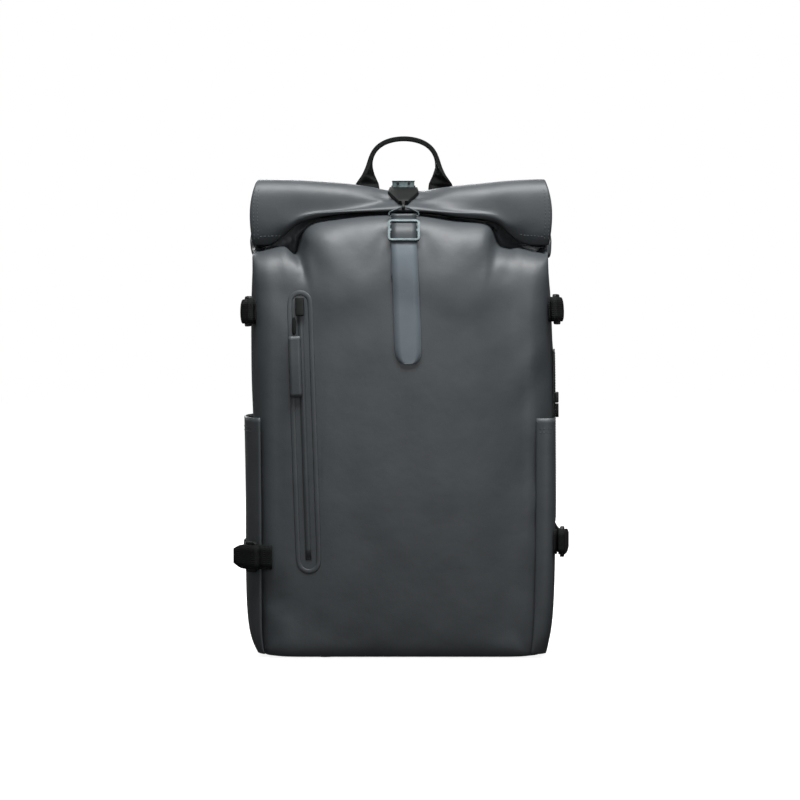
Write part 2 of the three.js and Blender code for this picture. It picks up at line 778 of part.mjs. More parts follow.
// Front pocket: a welded racetrack on the front panel with a zip down its middle
const pocketTop = { x: -103.5, z: 366 };
const pocketFoot = { x: -94.5, z: 101 };
const pocketHalfWidth = 13.5;
const weldWidth = 5.5;
const weldThick = 1;
const zipWidth = 6;
const zipThick = 1;
const pocketRun = Math.hypot(pocketTop.x - pocketFoot.x, pocketTop.z - pocketFoot.z);

// A place on the front panel given along and across the pocket's slanted middle line
function onPocket(along, aside, offset) {
  const rise = (pocketTop.z - pocketFoot.z) / pocketRun;
  const run = (pocketTop.x - pocketFoot.x) / pocketRun;
  const x = lerp(pocketFoot.x, pocketTop.x, along / pocketRun) + rise * aside;
  const z = lerp(pocketFoot.z, pocketTop.z, along / pocketRun) - run * aside;
  return onFront(x, z, offset);
}

const weldBends = 6;
const weldStraights = 9;
function weldGeometry() {
  const outline = [];
  const turn = (centre, from) => {
    for (let i = 0; i <= weldBends; i += 1) {
      const angle = from + (i * Math.PI) / weldBends;
      outline.push({ centre, along: Math.sin(angle), aside: Math.cos(angle) });
    }
  };
  turn(pocketRun, 0);
  for (let i = 1; i < weldStraights; i += 1) {
    outline.push({ centre: pocketRun * (1 - i / weldStraights), along: 0, aside: -1 });
  }
  turn(0, Math.PI);
  for (let i = 1; i < weldStraights; i += 1) {
    outline.push({ centre: (pocketRun * i) / weldStraights, along: 0, aside: 1 });
  }
  const grid = (offset) =>
    outline.map((spot) =>
      [pocketHalfWidth, pocketHalfWidth - weldWidth].map((reach) =>
        onPocket(spot.centre + spot.along * reach, spot.aside * reach, offset),
      ),
    );
  const base = clearance + facetSag;
  return sheetGeometry(grid(base + weldThick).reverse(), grid(base).reverse(), true);
}
addPiece("front_pocket_weld", weldGeometry(), bagCloth);

// A flat strip down the pocket's middle line, from one height share to another
function pocketStrip(from, to, aside, width, base, thick, steps) {
  const grid = (offset) =>
    Array.from({ length: steps + 1 }, (_, i) => {
      const along = lerp(from, to, i / steps);
      return [-width / 2, width / 2].map((edge) => onPocket(along, aside + edge, offset));
    });
  return sheetGeometry(grid(base + thick), grid(base));
}

const zipSliderLength = 19;
const zipSliderWidth = 9;
const zipSliderThick = 4;
const zipSliderTop = 371.5;
const cordLength = 20;
const cordWidth = 4.5;
const cordThick = 3;
const tabLength = 62;
const tabWidth = 12;
const tabThick = 2.6;
const hangLean = -6.5;
const sliderBase = clearance * 2 + facetSag + zipThick;
const zipSliderAt = zipSliderTop - pocketFoot.z;
addPiece(
  "front_zip_tape",
  pocketStrip(2, pocketRun + 5, 0, zipWidth, clearance + facetSag, zipThick, 12),
  bagCloth,
);
addPiece(
  "front_zip_slider",
  pocketStrip(
    zipSliderAt - zipSliderLength,
    zipSliderAt,
    0,
    zipSliderWidth,
    sliderBase,
    zipSliderThick,
    3,
  ),
  blackPlastic,
);
const cordTop = zipSliderAt - zipSliderLength - clearance;
addPiece(
  "front_pull_cord",
  pocketStrip(cordTop - cordLength, cordTop, hangLean, cordWidth, sliderBase, cordThick, 2),
  webbing,
);
const tabTop = cordTop - cordLength - clearance;
addPiece(
  "front_pull_tab",
  pocketStrip(tabTop - tabLength, tabTop, hangLean, tabWidth, sliderBase, tabThick, 4),
  bagCloth,
);

// The bag's outline round one side at a height, from the front panel's last column to the back
// corner: the cloth's own columns, with one more in the front corner
function sideContour(sign, height) {
  const corner = bodySection(height).corner;
  const front = frontPoint(sign, height);
  const back = backPoint(sign, height);
  const depth = back.y - front.y;
  const radius = Math.min(corner, depth * 0.45);
  const at = (along, out) => {
    const point = front.clone().lerp(back, along / depth);
    point.x += sign * out;
    return point;
  };
  const bends = [0.5, 0.75].map((step) => {
    const angle = (step * Math.PI) / 2;
    return at(radius * (1 - Math.cos(angle)), corner * Math.sin(angle));
  });
  const side = [0, ...sideSteps, 1].map((step) => at(radius + step * (depth - 2 * radius), corner));
  return [front, ...bends, ...side];
}

// The outline pushed outwards, by one offset for each of its points
function offsetContour(points, sign, offsets) {
  return points.map((point, i) => {
    const before = points[Math.max(0, i - 1)];
    const after = points[Math.min(points.length - 1, i + 1)];
    const along = after.clone().sub(before).setZ(0).normalize();
    const outward = vec(along.y * sign, -along.x * sign, 0);
    return point.clone().addScaledVector(outward, offsets[i]);
  });
}

// Slip pockets on the sides. at is a place along the outline round the side, in its points, and
// full how far the pocket stands out there, as a share of its fullness.
const pocketHeightShare = 0.67;
const sidePockets = {
  left: {
    fullness: 9,
    around: [
      { at: 1, full: 0 },
      { at: 2, full: 0.3 },
      { at: 3, full: 0.65 },
      { at: 4, full: 0.95 },
      { at: 5, full: 1 },
      { at: 6, full: 0.9 },
      { at: 7, full: 0 },
    ],
  },
  right: {
    fullness: 8,
    around: [
      { at: 0.45, full: 0 },
      { at: 0.8, full: 0.8 },
      { at: 1, full: 1 },
      { at: 1.5, full: 0.75 },
      { at: 2, full: 0 },
    ],
  },
};
const pocketUp = [
  { height: 0.012, full: 0 },
  { height: 0.04, full: 0.45 },
  { height: 0.1, full: 0.85 },
  { height: 0.25, full: 1 },
  { height: 0.43, full: 0.92 },
  { height: 0.62, full: 1 },
  { height: pocketHeightShare, full: 1.02 },
];
const pocketWall = 1.5;
const pocketGap = 0.6;

// How far a side pocket's inner face stands off the bag at a place along the outline
function pocketOffset(sign, height, at) {
  const pocket = sign < 0 ? sidePockets.left : sidePockets.right;
  const up = readTable(pocketUp, "height", "full", height);
  return pocketGap + pocket.fullness * up * readTable(pocket.around, "at", "full", at);
}

function along(points, at) {
  const i = Math.min(Math.floor(at), points.length - 2);
  return points[i].clone().lerp(points[i + 1], at - i);
}

function sidePocketGeometry(sign) {
  const pocket = sign < 0 ? sidePockets.left : sidePockets.right;
  const grid = (extra) =>
    pocketUp.map((row) => {
      const contour = sideContour(sign, row.height);
      const points = pocket.around.map((column) => along(contour, column.at));
      const offsets = pocket.around.map(
        (column) => pocketOffset(sign, row.height, column.at) + extra,
      );
      const skin = offsetContour(points, sign, offsets);
      return sign > 0 ? skin : skin.reverse();
    });
  return sheetGeometry(grid(pocketWall), grid(0));
}
addPiece("side_pocket_left", sidePocketGeometry(-1), bagCloth);
addPiece("side_pocket_right", sidePocketGeometry(1), bagCloth);

// Compression straps: a patch sewn to the front corner, a ladderlock, and webbing from the back
// seam round the side, through the ladderlock and out as a loose end. height is a share of
// shoulderHeight and tail the loose end's length. skinPlaces are places along the outline round
// the side; patch and seat pick from them for the patch and for the strap behind the ladderlock.
const compressionSets = [
  { name: "upper_left", sign: -1, height: 0.965, tail: 5, patch: [3, 4, 5], seat: [9, 8, 7, 6] },
  { name: "upper_right", sign: 1, height: 0.97, tail: 3, patch: [3, 4, 5], seat: [9, 8, 7, 6] },
  { name: "lower_left", sign: -1, height: 0.284, tail: 14, patch: [0, 1, 2, 3, 4], seat: [9, 8, 7, 6, 5] },
  { name: "lower_right", sign: 1, height: 0.327, tail: 17, patch: [2, 3, 4], seat: [9, 8, 7, 6, 5] },
];
const patchThick = 1.5;
const lockHeight = 31;
const lockLength = 15;
const lockThick = 3.5;
const lockBar = 2.6;
const skinPlaces = [0.45, 0.8, 1, 1.5, 2, 3, 4, 5, 6, 7];
const lockLoop = lockThick / 2 + clearance + webThick / 2;

// Points round the side at a height, outside the side pocket where there is one
function sideSkin(sign, height, extra) {
  const contour = sideContour(sign, height);
  const inPocket = height < pocketHeightShare;
  const points = skinPlaces.map((at) => along(contour, at));
  const offsets = skinPlaces.map(
    (at) => (inPocket ? pocketOffset(sign, height, at) + pocketWall : 0) + extra,
  );
  return offsetContour(points, sign, offsets);
}

// Half a webbing's width as a vector up the side's own slope
function upSlope(sign, height, place) {
  const reach = webWidth / 2 / shoulderHeight;
  const above = sideSkin(sign, Math.min(1, height + reach), 0)[place];
  const below = sideSkin(sign, height - reach, 0)[place];
  return above.sub(below).setLength(webWidth / 2);
}

for (const set of compressionSets) {
  const { name, sign, height, tail, patch: patchPlaces, seat: seatPlaces } = set;
  const lockPlace = patchPlaces[patchPlaces.length - 2];
  const near = sideSkin(sign, height, clearance + facetSag + patchThick / 2);
  const patch = patchPlaces.map((place) => ({
    at: near[place],
    across: upSlope(sign, height, place),
    thick: patchThick,
  }));
  addPiece("patch_" + name, bandGeometry(patch), webbing);

  const over = patchThick / 2 + clearance + webThick + clearance + lockThick / 2;
  const slope = upSlope(sign, height, lockPlace);
  const up = slope.clone().normalize();
  const backward = near[lockPlace + 1].clone().sub(near[lockPlace - 1]);
  backward.addScaledVector(up, -backward.dot(up)).normalize();
  const outward = new THREE.Vector3().crossVectors(backward, up).multiplyScalar(sign);
  const centre = near[lockPlace].clone().addScaledVector(outward, over + facetSag);
  const frame = roundedFrame(lockLength, lockHeight, 3, lockBar, lockThick);
  const bar = new THREE.BoxGeometry(lockBar, lockHeight - lockBar, lockThick);
  const lock = addPiece("ladderlock_" + name, joined([frame, bar]), blackPlastic);
  const turn = new THREE.Matrix4().makeBasis(backward, up.clone().multiplyScalar(sign), outward);
  turn.setPosition(centre);
  lock.applyMatrix4(turn);

  const place = (back, out) =>
    centre.clone().addScaledVector(backward, back).addScaledVector(outward, out);
  const reach = lockLength / 2 - lockBar / 2;
  const base = sideSkin(sign, height, clearance + facetSag + webThick / 2);
  const wrap = [-50, 0, 50].map((degrees) => {
    const angle = THREE.MathUtils.degToRad(degrees);
    return place(-reach - Math.cos(angle) * (lockLoop + 0.3), Math.sin(angle) * (lockLoop + 0.3));
  });
  const path = [
    ...seatPlaces.map((place) => base[place]),
    place(reach + 3, -lockLoop),
    place(-reach, -lockLoop),
    ...wrap,
    place(-reach, lockLoop),
    place(reach, lockLoop),
    place(reach + tail / 2, lockLoop + 0.5),
    place(reach + tail + 3, lockLoop + 1),
  ];
  const stations = path.map((at, i) => ({
    at,
    across:
      i < seatPlaces.length
        ? upSlope(sign, height, seatPlaces[i])
        : slope.clone().multiplyScalar(i === path.length - 1 ? 0.6 : 1),
    thick: webThick,
  }));
  addPiece("compression_strap_" + name, bandGeometry(stations), webbing);
}

// Side access zip, on the right side just behind the front corner
const sideZipTop = 0.86;
const sideZipFoot = 0.38;
const sideZipWidth = 8;
const sideZipColumn = 3;
const sideSliderWidth = 7;
const sideSliderThick = 3;
const sidePullWidth = 5;
function sideZipStrip(from, to, width, base, thick, steps) {
  const grid = (offset) =>
    Array.from({ length: steps + 1 }, (_, i) => {
      const height = lerp(from, to, i / steps);
      const contour = sideContour(1, height);
      const skin = offsetContour(contour, 1, contour.map(() => offset));
      const middle = along(skin, sideZipColumn);
      const ahead = along(skin, sideZipColumn - 0.5).sub(middle).setLength(width / 2);
      const behind = along(skin, sideZipColumn + 0.5).sub(middle).setLength(width / 2);
      return [ahead.add(middle), middle, behind.add(middle)];
    });
  return sheetGeometry(grid(base + thick), grid(base));
}
const sideZipBase = clearance + facetSag;
const sidePullBase = sideZipBase + zipThick + clearance;
const sidePulls = [
  { name: "side_zip_slider", top: 0.74, foot: 0.71, width: sideSliderWidth, finish: blackPlastic },
  { name: "side_zip_pull", top: 0.708, foot: 0.67, width: sidePullWidth, finish: webbing },
];
addPiece(
  "side_zip_tape",
  sideZipStrip(sideZipFoot, sideZipTop, sideZipWidth, sideZipBase, zipThick, 8),
  blackPlastic,
);
for (const pull of sidePulls) {
  addPiece(
    pull.name,
    sideZipStrip(pull.foot, pull.top, pull.width, sidePullBase, sideSliderThick, 1),
    pull.finish,
  );
}

// The padded back panel
const padWidthShare = 0.84;
const padFoot = 0.05;
const padTop = 1;
const padEdge = 3;
const padCrown = 8;
const padRim = 0.04;
const padColumns = [-1, -0.92, -0.75, -0.4, 0, 0.4, 0.75, 0.92, 1];
function backPadGeometry() {
  const between = bodySections.map((section) => section.height);
  const heights = [
    padFoot,
    padFoot + padRim,
    ...between.filter((height) => height > padFoot + padRim && height < padTop - padRim),
    padTop - padRim,
    padTop,
  ];
  const grid = (thickness) =>
    heights.map((height) =>
      padColumns.map((column) => {
        const point = backPoint(column * padWidthShare, height);
        const edge = (2 * (height - padFoot)) / (padTop - padFoot) - 1;
        const fade = (1 - column ** 6) * (1 - edge ** 6);
        return point.setY(point.y + clearance + thickness * (padEdge + padCrown * fade));
      }),
    );
  return sheetGeometry(grid(0), grid(1));
}
addPiece("back_pad", backPadGeometry(), padMesh);

// Shoulder straps: padded, from under the roll over the back pad, then webbing to the base
const shoulderStrapWidth = 62;
const shoulderStrapThick = 11;
const shoulderStrapRows = [
  { height: 1.09, aside: 0.3, back: 0, width: 0.7, thick: 0.35 },
  { height: 1.05, aside: 0.31, back: 0.06, width: 0.82, thick: 0.6 },
  { height: 1.01, aside: 0.32, back: 0.15, width: 0.9, thick: 0.85 },
  { height: 0.94, aside: 0.34, back: 0.33, width: 1, thick: 1 },
  { height: 0.85, aside: 0.37, back: 0.44, width: 1, thick: 1 },
  { height: 0.74, aside: 0.41, back: 0.49, width: 1, thick: 1 },
  { height: 0.62, aside: 0.46, back: 0.49, width: 0.95, thick: 1 },
  { height: 0.52, aside: 0.51, back: 0.45, width: 0.82, thick: 0.9 },
  { height: 0.44, aside: 0.55, back: 0.4, width: 0.6, thick: 0.6 },
  { height: 0.41, aside: 0.565, back: 0.38, width: 0.45, thick: 0.3 },
];
const strapSections = [-1, -0.75, 0, 0.75, 1];
// How far back the bag reaches at a height, beside its middle
function backReach(z) {
  if (z <= shoulderHeight) return backPoint(0, z / shoulderHeight).y;
  let low = 1;
  let high = 2;
  for (let i = 0; i < 30; i += 1) {
    const middle = (low + high) / 2;
    if (backPoint(0, middle).z < z) low = middle;
    else high = middle;
  }
  return backPoint(0, low).y;
}

// The strap's middle line: back is how far it stands off the bag, as a share of half its depth
function shoulderMiddle(sign, row) {
  const z = row.height * shoulderHeight;
  const seat = clearance + facetSag + (row.thick * shoulderStrapThick) / 2;
  return vec(sign * row.aside * halfWidth, backReach(z) + seat + row.back * halfDepth, z);
}

function shoulderStrapGeometry(sign) {
  const middles = shoulderStrapRows.map((row) => shoulderMiddle(sign, row));
  const face = (side) =>
    shoulderStrapRows.map((row, i) => {
      const before = middles[Math.max(0, i - 1)];
      const after = middles[Math.min(middles.length - 1, i + 1)];
      const down = after.clone().sub(before).normalize();
      const across = vec(1, 0, 0).addScaledVector(down, -down.x).normalize();
      const out = new THREE.Vector3().crossVectors(across, down).normalize();
      if (out.y < 0) out.negate();
      return strapSections.map((share) => {
        const thick = row.thick * shoulderStrapThick * (1 - 0.72 * share ** 4);
        return middles[i]
          .clone()
          .addScaledVector(across, (share * row.width * shoulderStrapWidth) / 2)
          .addScaledVector(out, (side * thick) / 2);
      });
    });
  return sheetGeometry(face(1), face(-1));
}
addPiece("shoulder_strap_left", shoulderStrapGeometry(-1), padMesh);
addPiece("shoulder_strap_right", shoulderStrapGeometry(1), padMesh);

// The foot of each shoulder strap: a tab on the back corner, webbing up from it, through the
// adjuster at the strap's end and down as a loose end
const anchorWidth = 30;
const anchorFoot = 0.05;
const anchorTop = 0.125;
const anchorThick = 1.5;
const adjusterWidth = 32;
const adjusterLength = 18;
const webTail = 62;
const adjusterDrop = 3.5;
const footRow = shoulderStrapRows[shoulderStrapRows.length - 1];
for (const { side, sign } of [
  { side: "left", sign: -1 },
  { side: "right", sign: 1 },
]) {
  const onCorner = (height, offset) => {
    const point = backPoint(sign, height);
    return point.setY(point.y + clearance + facetSag + offset);
  };
  const tab = [anchorFoot, 0.1, anchorTop].map((height) => ({
    at: onCorner(height, anchorThick / 2),
    across: vec((-anchorWidth / 2) * (height < anchorTop ? 1 : 0.84), 0, 0),
    thick: anchorThick,
  }));
  addPiece("strap_anchor_" + side, bandGeometry(tab), bagCloth);

  const end = shoulderMiddle(sign, footRow);
  const centre = end.clone().add(vec(sign * 2, 0, -adjusterLength / 2 - adjusterDrop));
  const adjuster = addPiece(
    "shoulder_adjuster_" + side,
    joined([
      roundedFrame(adjusterWidth, adjusterLength, 3, lockBar, lockThick),
      new THREE.BoxGeometry(adjusterWidth - lockBar, lockBar, lockThick),
    ]),
    blackPlastic,
  );
  adjuster.rotation.x = Math.PI / 2;
  adjuster.position.copy(centre);
  const wrapOut = lockLoop + 0.3;
  const wrap = [-90, -45, 0, 45, 90].map((degrees) => {
    const angle = THREE.MathUtils.degToRad(degrees);
    const up = Math.cos(angle) * wrapOut;
    return centre.clone().add(vec(0, Math.sin(angle) * wrapOut, up));
  });
  const reach = adjusterLength / 2 - lockBar / 2;
  const foot = onCorner(0.075, anchorThick + clearance + webThick / 2);
  const lift = onCorner(anchorTop + 0.03, anchorThick + clearance + webThick);
  const under = centre.clone().add(vec(0, -wrapOut, -reach - 2));
  const path = [
    foot,
    lift,
    lift.clone().lerp(under, 0.35).add(vec(0, 2, 0)),
    lift.clone().lerp(under, 0.7).add(vec(0, 1.5, 0)),
    under,
    ...wrap,
    centre.clone().add(vec(0, wrapOut, -reach)),
    centre.clone().add(vec(0, wrapOut + 3, -reach - webTail * 0.4)),
    centre.clone().add(vec(0, wrapOut + 2, -reach - webTail)),
  ];
  const stations = path.map((at) => ({
    at,
    across: vec(-webWidth / 2, 0, 0),
    thick: webThick,
  }));
  addPiece("shoulder_webbing_" + side, bandGeometry(stations), webbing);
}

// The origin is on the floor, under the middle of the whole bag
const box = new THREE.Box3().setFromObject(backpack);
const middle = box.getCenter(new THREE.Vector3());
backpack.position.set(-middle.x, -middle.y, -box.min.z);

export default backpack;
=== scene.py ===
# Rolltop backpack: the looks of each piece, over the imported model.
import math

import bpy
import numpy as np
from mathutils import Matrix, Vector, noise
from mathutils.bvhtree import BVHTree


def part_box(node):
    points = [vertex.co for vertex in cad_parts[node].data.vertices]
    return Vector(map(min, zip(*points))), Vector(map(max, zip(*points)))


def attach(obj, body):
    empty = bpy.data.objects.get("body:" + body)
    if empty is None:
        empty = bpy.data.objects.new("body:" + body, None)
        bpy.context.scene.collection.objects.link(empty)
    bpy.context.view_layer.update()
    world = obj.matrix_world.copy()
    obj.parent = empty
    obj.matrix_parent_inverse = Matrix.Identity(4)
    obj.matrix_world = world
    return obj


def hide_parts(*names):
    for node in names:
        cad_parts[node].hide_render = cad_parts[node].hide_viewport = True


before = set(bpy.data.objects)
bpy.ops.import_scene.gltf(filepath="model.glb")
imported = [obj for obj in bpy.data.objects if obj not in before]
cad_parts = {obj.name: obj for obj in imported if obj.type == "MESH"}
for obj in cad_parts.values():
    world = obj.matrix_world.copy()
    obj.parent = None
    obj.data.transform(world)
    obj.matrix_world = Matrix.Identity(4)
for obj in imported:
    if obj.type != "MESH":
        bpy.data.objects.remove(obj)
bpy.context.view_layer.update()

# The camera stands straight in front of the bag, a little above its middle, with a long lens as
# the photograph has: 825 mm of height fills the frame at the front panel's plane.
view_distance = 3.2
view_height = math.radians(2.5)
view_centre = Vector((-0.0014, -0.06, 0.2655))
view_span = 0.8256
sightline = Vector((0, -math.cos(view_height), math.sin(view_height)))
bpy.ops.object.camera_add(
    location=view_centre + sightline * view_distance,
    rotation=(math.pi / 2 - view_height, 0, 0),
)
camera = bpy.context.object
camera.name = "photo_camera"
camera.data.sensor_width = 36
camera.data.lens = 36 * view_distance / view_span
bpy.context.scene.camera = camera

# The bag: one shell of polyester with a polyurethane coating, welded down the sides, its mouth
# rolled forward once and pinched in the middle by the hook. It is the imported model's own cloth,
# smoothed, with the folds that the photograph shows pressed into the front and the roll.


def only(piece):
    bpy.ops.object.select_all(action="DESELECT")
    piece.select_set(True)
    bpy.context.view_layer.objects.active = piece


def finish_with(piece, kind, **settings):
    only(piece)
    modifier = piece.modifiers.new(kind.lower(), kind)
    for key, value in settings.items():
        setattr(modifier, key, value)
    bpy.ops.object.modifier_apply(modifier=modifier.name)


def merged_copy(name, node, quads=True):
    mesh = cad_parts[node].data.copy()
    mesh.name = name
    mesh.materials.clear()
    piece = bpy.data.objects.new(name, mesh)
    bpy.context.scene.collection.objects.link(piece)
    only(piece)
    bpy.ops.object.mode_set(mode="EDIT")
    bpy.ops.mesh.select_all(action="SELECT")
    bpy.ops.mesh.remove_doubles(threshold=1e-5)
    if quads:
        bpy.ops.mesh.tris_convert_to_quads(
            face_threshold=math.radians(40), shape_threshold=math.radians(60)
        )
    bpy.ops.object.mode_set(mode="OBJECT")
    bpy.ops.object.shade_smooth()
    return piece


def smoothed(piece, levels, keep_edges=None):
    only(piece)
    if keep_edges is not None:
        bpy.ops.object.mode_set(mode="EDIT")
        bpy.ops.mesh.select_mode(type="EDGE")
        bpy.ops.mesh.select_all(action="DESELECT")
        bpy.ops.mesh.edges_select_sharp(sharpness=math.radians(keep_edges))
        bpy.ops.transform.edge_crease(value=1)
        bpy.ops.object.mode_set(mode="OBJECT")
    finish_with(piece, "SUBSURF", levels=levels, render_levels=levels)
    return piece


def step(value, low, high):
    share = min(1, max(0, (value - low) / (high - low)))
    return share * share * (3 - 2 * share)


# Folds pressed into the front, in millimetres seen from the front: where each starts and ends,
# its half width there, and how deep it goes. A negative depth is a ridge.
front_folds = [
    {"start": (-98, 422), "end": (-66, 362), "width": (7, 15), "depth": (3.4, 0)},
    {"start": (-16, 432), "end": (-44, 372), "width": (6, 18), "depth": (2.6, 0)},
    {"start": (22, 430), "end": (40, 366), "width": (6, 18), "depth": (2.4, 0)},
    {"start": (94, 424), "end": (62, 352), "width": (8, 18), "depth": (3.4, 0)},
    {"start": (-76, 428), "end": (-60, 384), "width": (10, 16), "depth": (-1.8, 0)},
    {"start": (62, 430), "end": (52, 384), "width": (10, 16), "depth": (-1.6, 0)},
    {"start": (-66, 374), "end": (-46, 380), "width": (22, 24), "depth": (-5, -5)},
    {"start": (44, 382), "end": (64, 374), "width": (24, 22), "depth": (-5, -5)},
    {"start": (-100, 392), "end": (-90, 352), "width": (12, 16), "depth": (2.4, 0)},
    {"start": (-136, 368), "end": (-116, 362), "width": (20, 18), "depth": (3.4, 2)},
    {"start": (106, 392), "end": (92, 340), "width": (13, 18), "depth": (2.4, 0)},
    {"start": (136, 366), "end": (118, 356), "width": (20, 18), "depth": (3, 2)},
    {"start": (136, 308), "end": (94, 264), "width": (7, 12), "depth": (-3, -0.5)},
    {"start": (148, 294), "end": (102, 244), "width": (8, 17), "depth": (4, 0.5)},
    {"start": (150, 262), "end": (98, 205), "width": (8, 20), "depth": (-2.4, 0)},
    {"start": (146, 204), "end": (100, 186), "width": (8, 16), "depth": (3.6, 0.8)},
    {"start": (148, 176), "end": (104, 136), "width": (7, 18), "depth": (-2, 0)},
    {"start": (150, 150), "end": (112, 116), "width": (7, 18), "depth": (2.2, 0)},
    {"start": (152, 74), "end": (126, 92), "width": (4, 10), "depth": (2.2, 0)},
    {"start": (-150, 20), "end": (-130, 66), "width": (4, 9), "depth": (2.4, 0)},
    {"start": (-140, 14), "end": (-120, 48), "width": (4, 10), "depth": (1.8, 0)},
    {"start": (-136, 68), "end": (-98, 40), "width": (5, 16), "depth": (3.4, 0.6)},
    {"start": (130, 10), "end": (112, 44), "width": (5, 12), "depth": (1.6, 0)},
    {"start": (0, 240), "end": (0, 120), "width": (70, 90), "depth": (1.6, 1.6)},
]
roll_folds = [
    {"start": (-12, 474), "end": (-66, 486), "width": (3, 9), "depth": (2, 0)},
    {"start": (-14, 468), "end": (-74, 470), "width": (3, 9), "depth": (1.8, 0)},
    {"start": (16, 474), "end": (58, 487), "width": (3, 9), "depth": (2, 0)},
    {"start": (20, 468), "end": (82, 474), "width": (3, 10), "depth": (2, 0)},
    {"start": (22, 484), "end": (44, 478), "width": (4, 7), "depth": (1.6, 0)},
]


def pressed(folds, x, z):
    total = 0
    for fold in folds:
        (x0, z0), (x1, z1) = fold["start"], fold["end"]
        run = (x1 - x0) ** 2 + (z1 - z0) ** 2
        share = ((x - x0) * (x1 - x0) + (z - z0) * (z1 - z0)) / run
        share = min(1, max(0, share))
        width = fold["width"][0] + share * (fold["width"][1] - fold["width"][0])
        depth = fold["depth"][0] + share * (fold["depth"][1] - fold["depth"][0])
        away = math.hypot(x - x0 - share * (x1 - x0), z - z0 - share * (z1 - z0))
        total += depth * math.exp(-((away / width) ** 2))
    return total


# Where the four patches are sewn on, in millimetres seen from the front.
patch_places = ((-142, 357), (142, 359), (-142, 105), (142, 121))


def front_dent(point):
    x, z = point.x * 1000, point.z * 1000
    wave = noise.noise(Vector((x, 0, z)) / 52)
    ripple = noise.noise(Vector((x, 9, z)) / 19)
    soft = 0.9 * (1 + wave) + 0.3 * ripple
    turned = 2.6 * step(abs(x - 2), 72, 122) * (1 - step(abs(x), 124, 138)) * step(z, 20, 90)
    # The cloth keeps its place where a patch is sewn to it.
    free = 1
    for across, height in patch_places:
        free -= math.exp(-(((x - across) / 22) ** 2) - ((z - height) / 24) ** 2)
    return (pressed(front_folds, x, z) + soft * step(z, 6, 30) + turned) * max(0, free) / 1000


def press_front(piece, low=0.43, high=0.452):
    for vertex in piece.data.vertices:
        place = vertex.co
        share = step(-place.y, 0.03, 0.06) * (1 - step(place.z, low, high))
        if share > 0:
            vertex.co.y += share * front_dent(place)


# The hem of the roll, which rises to the middle: its height by the distance from the middle.
hem_widths = (0.02, 0.074, 0.093, 0.103, 0.111, 0.124)
hem_heights = (0.457, 0.451, 0.447, 0.441, 0.432, 0.424)
# How far the cloth is moved: the roll's belly back, its ends up, the front's upper edge up ahead
# of the roll, the shoulders up to the hem, the left side out, a crumple in the sides, and the
# cloth under the side zip out to its tape.
belly_back = 0.018
ends_up = 0.0026
edge_up = 0.004
shoulders_up = 0.0035
side_out = 0.0026
crumple_in = 0.0008
zip_seat = 0.0009

bag = smoothed(merged_copy("bag_body", "body_shell"), 2)
press_front(bag)
for vertex in bag.data.vertices:
    place = vertex.co
    on_roll = step(place.z, 0.45, 0.46) * step(-place.y, 0.0, 0.02)
    if on_roll > 0:
        deep = pressed(roll_folds, place.x * 1000, place.z * 1000) / 1000
        vertex.co += Vector((0, deep, -0.4 * deep)) * on_roll
    hem = float(np.interp(abs(place.x), hem_widths, hem_heights))
    if -0.0345 < place.y and place.z > hem - 0.002:
        under = min(1, max(0, (0.48 - place.z) / (0.48 - hem))) ** 2
        inner = 1 - 0.35 * step(abs(place.x), 0.1, 0.15)
        corner = step(abs(place.x), 0.143, 0.151) * (1 - step(place.z, 0.427, 0.445))
        back = under * inner * (1 - corner) * step(-place.y, 0.004, 0.024)
        vertex.co.y += belly_back * back
    if place.z > 0.45:
        place.z += ends_up * step(abs(place.x), 0.03, 0.15) * min(1, (place.z - 0.45) / 0.04)
    ahead_of_roll = step(-place.y, 0.026, 0.037) * step(place.z, 0.405, 0.447)
    ahead_of_roll *= 1 - step(place.z, 0.452, 0.463)
    place.z += edge_up * ahead_of_roll * (1 - step(abs(place.x + 0.002), 0.08, 0.116))
    shoulder = step(abs(place.x), 0.112, 0.122) * step(-place.y, 0.02, 0.036)
    shoulder *= step(place.z, 0.385, 0.412)
    place.z += shoulders_up * shoulder * (1 - step(place.z, 0.421, 0.426))
    wide = step(-place.x, 0.12, 0.15) * step(place.z, 0.2, 0.3)
    wide *= 1 - step(place.z, 0.415, 0.424)
    place.x -= side_out * wide * step(-place.y, 0.025, 0.055)
    crumple = noise.noise(Vector((place.x, place.y, place.z)) * 34) * crumple_in
    side = step(abs(place.x), 0.13, 0.15) * step(place.z, 0.01, 0.04)
    side *= step(place.y, -0.05, -0.03)
    vertex.co.x -= math.copysign(abs(crumple) * side, place.x)
    by_zip = step(place.x, 0.148, 0.154) * step(-place.y, 0.03, 0.045)
    by_zip *= 1 - step(place.z, 0.31, 0.33)
    vertex.co.x += zip_seat * by_zip * (1 - step(-place.y, 0.076, 0.086))


def linear(code):
    def channel(pair):
        value = int(pair, 16) / 255
        return value / 12.92 if value <= 0.04045 else ((value + 0.055) / 1.055) ** 2.4

    return tuple(channel(code[i:i + 2]) for i in (0, 2, 4)) + (1,)


def add_node(tree, kind, settings=None, links=None):
    node = tree.nodes.new(kind)
    for key, value in (settings or {}).items():
        if isinstance(key, int) or key in node.inputs:
            node.inputs[key].default_value = value
        else:
            setattr(node, key, value)
    for key, source in (links or {}).items():
        tree.links.new(source, node.inputs[key])
    return node


def new_material(name, **settings):
    material = bpy.data.materials.new(name)
    material.use_nodes = True
    tree = material.node_tree
    shader = tree.nodes["Principled BSDF"]
    for key, value in settings.items():
        shader.inputs[key.replace("_", " ")].default_value = value
    place = add_node(tree, "ShaderNodeTexCoord").outputs["Object"]
    return material, tree, shader, place


